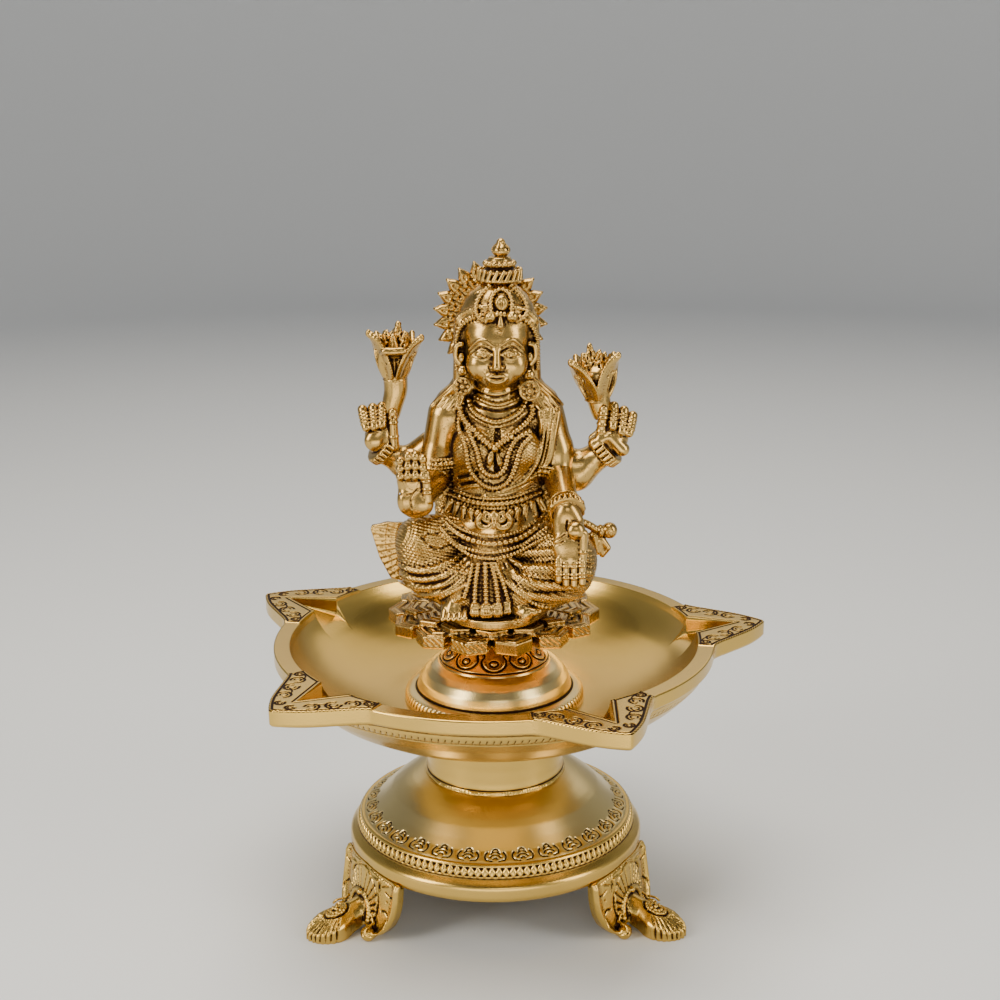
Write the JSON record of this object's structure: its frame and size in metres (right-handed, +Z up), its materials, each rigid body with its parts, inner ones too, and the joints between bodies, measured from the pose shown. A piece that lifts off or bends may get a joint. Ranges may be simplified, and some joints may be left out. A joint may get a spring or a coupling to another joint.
{
  "type": "lakshmi oil lamp",
  "caption": "Standing brass oil lamp: shell feet, domed base, open bowl with pointed wick spouts, and a four-armed seated goddess on a lotus",
  "frame": {"origin": "middle of the bounding box, on the surface that the three feet stand on", "axes": "+Z up along the lamp's axis, -Y towards the front that the figure faces, +X to the viewer's right"},
  "size_m": [0.2348, 0.2366, 0.3032],
  "materials": {
    "brass": "satin cast brass",
    "aged_brass": "cast brass with dark patina in the recesses",
    "steel": "plain steel"
  },
  "bodies": {
    "root": {"foot_front_left": "brass", "foot_front_right": "brass", "foot_back": "brass", "base_dome": "brass", "neck": "brass", "tie_rod": "steel", "base_washer": "steel", "base_nut": "steel", "bowl": "brass", "boss": "brass", "seat_cap": "aged_brass", "lotus_seat": "aged_brass", "figure_legs": "aged_brass", "figure_trunk": "aged_brass", "front_right_forearm": "aged_brass", "front_left_forearm": "aged_brass", "rear_right_arm": "aged_brass", "rear_left_arm": "aged_brass", "right_flower": "aged_brass", "left_flower": "aged_brass", "head": "aged_brass", "halo": "aged_brass", "crown_tier": "aged_brass", "crown_top": "aged_brass", "finial": "aged_brass"}
  },
  "joints": []
}
